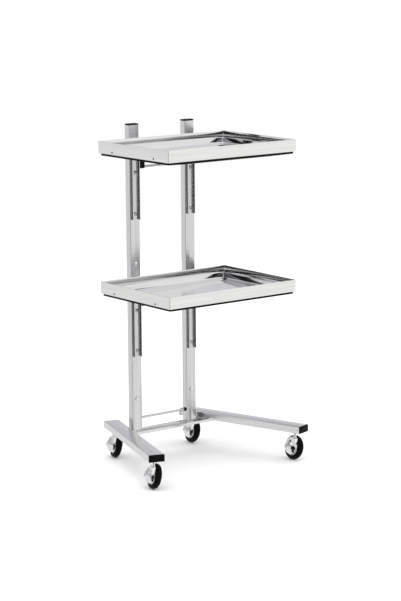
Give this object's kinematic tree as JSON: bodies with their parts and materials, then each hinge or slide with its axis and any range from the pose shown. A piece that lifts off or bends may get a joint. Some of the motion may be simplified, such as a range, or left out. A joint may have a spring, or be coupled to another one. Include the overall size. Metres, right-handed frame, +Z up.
{
  "type": "instrument cart",
  "caption": "Two-tier stainless instrument cart: framed trays with lift-out pans cantilevered from twin posts on a splayed base with swivel casters.",
  "frame": {"origin": "on the floor, under the middle of the cart", "axes": "+X to the right, +Y to the back, where the posts are, +Z up"},
  "size_m": [0.6524, 0.499, 1.124],
  "materials": {
    "brushed_steel": "brushed stainless steel",
    "polished_steel": "polished stainless sheet",
    "bright_steel": "bright drawn stainless bar",
    "chrome": "bright chrome plate",
    "black_plastic": "matt black moulding",
    "black_coated_steel": "satin black coating",
    "rubber_tyre": "matt black rubber"
  },
  "bodies": {
    "stand": {"base_tie_rod": "bright_steel", "base_tie_rod_left_ferrule": "black_plastic", "base_tie_rod_right_ferrule": "black_plastic", "cross_bar": "brushed_steel", "front_left_caster_stem": "chrome", "front_right_caster_stem": "chrome", "left_leg": "brushed_steel", "left_leg_front_cap": "black_plastic", "left_leg_rear_cap": "black_plastic", "left_post": "brushed_steel", "left_post_cap": "black_plastic", "lower_left_bracket": "brushed_steel", "lower_left_bracket_screw_1": "brushed_steel", "lower_left_bracket_screw_2": "brushed_steel", "lower_right_bracket": "brushed_steel", "lower_right_bracket_screw_1": "brushed_steel", "lower_right_bracket_screw_2": "brushed_steel", "lower_tie_rod": "bright_steel", "lower_tie_rod_left_block": "black_plastic", "lower_tie_rod_right_block": "black_plastic", "lower_tray_frame": "brushed_steel", "lower_under_pan": "black_coated_steel", "rear_left_caster_stem": "chrome", "rear_right_caster_stem": "chrome", "right_leg": "brushed_steel", "right_leg_front_cap": "black_plastic", "right_leg_rear_cap": "black_plastic", "right_post": "brushed_steel", "right_post_cap": "black_plastic", "upper_left_bracket": "brushed_steel", "upper_left_bracket_screw_1": "brushed_steel", "upper_left_bracket_screw_2": "brushed_steel", "upper_right_bracket": "brushed_steel", "upper_right_bracket_screw_1": "brushed_steel", "upper_right_bracket_screw_2": "brushed_steel", "upper_tie_rod": "bright_steel", "upper_tie_rod_left_block": "black_plastic", "upper_tie_rod_right_block": "black_plastic", "upper_tray_frame": "brushed_steel", "upper_under_pan": "black_coated_steel"},
    "upper_pan": {"upper_tray_pan": "polished_steel"},
    "lower_pan": {"lower_tray_pan": "polished_steel"},
    "front_left_swivel": {"front_left_caster_hood": "chrome", "front_left_caster_axle": "bright_steel"},
    "front_left_wheel": {"front_left_caster_wheel": "chrome", "front_left_caster_tyre": "rubber_tyre"},
    "front_right_swivel": {"front_right_caster_hood": "chrome", "front_right_caster_axle": "bright_steel"},
    "front_right_wheel": {"front_right_caster_wheel": "chrome", "front_right_caster_tyre": "rubber_tyre"},
    "rear_left_swivel": {"rear_left_caster_hood": "chrome", "rear_left_caster_axle": "bright_steel"},
    "rear_left_wheel": {"rear_left_caster_wheel": "chrome", "rear_left_caster_tyre": "rubber_tyre"},
    "rear_right_swivel": {"rear_right_caster_hood": "chrome", "rear_right_caster_axle": "bright_steel"},
    "rear_right_wheel": {"rear_right_caster_wheel": "chrome", "rear_right_caster_tyre": "rubber_tyre"}
  },
  "joints": [
    {"name": "upper_pan_lift_out", "type": "slide", "parent": "stand", "child": "upper_pan", "axis": [0, 0, 1], "range_m": [0, 0.06]},
    {"name": "lower_pan_lift_out", "type": "slide", "parent": "stand", "child": "lower_pan", "axis": [0, 0, 1], "range_m": [0, 0.06]},
    {"name": "front_left_swivel_turn", "type": "hinge", "parent": "stand", "child": "front_left_swivel", "pos_m": [-0.29043, -0.20227, 0.094], "axis": [0, 0, 1], "continuous": true},
    {"name": "front_left_wheel_spin", "type": "hinge", "parent": "front_left_swivel", "child": "front_left_wheel", "pos_m": [-0.27769, -0.18955, 0.04047], "axis": [-0.9412, 0.2522, 0.225], "continuous": true},
    {"name": "front_right_swivel_turn", "type": "hinge", "parent": "stand", "child": "front_right_swivel", "pos_m": [0.29043, -0.20227, 0.094], "axis": [0, 0, 1], "continuous": true},
    {"name": "front_right_wheel_spin", "type": "hinge", "parent": "front_right_swivel", "child": "front_right_wheel", "pos_m": [0.29972, -0.18685, 0.04047], "axis": [-0.9742, 0.017, 0.225], "continuous": true},
    {"name": "rear_left_swivel_turn", "type": "hinge", "parent": "stand", "child": "rear_left_swivel", "pos_m": [-0.16226, 0.19455, 0.094], "axis": [0, 0, 1], "continuous": true},
    {"name": "rear_left_wheel_spin", "type": "hinge", "parent": "rear_left_swivel", "child": "rear_left_wheel", "pos_m": [-0.14846, 0.20611, 0.04047], "axis": [-0.9156, 0.3333, 0.225], "continuous": true},
    {"name": "rear_right_swivel_turn", "type": "hinge", "parent": "stand", "child": "rear_right_swivel", "pos_m": [0.16226, 0.19455, 0.094], "axis": [0, 0, 1], "continuous": true},
    {"name": "rear_right_wheel_spin", "type": "hinge", "parent": "rear_right_swivel", "child": "rear_right_wheel", "pos_m": [0.17336, 0.20872, 0.04047], "axis": [-0.9649, 0.1356, 0.225], "continuous": true}
  ]
}
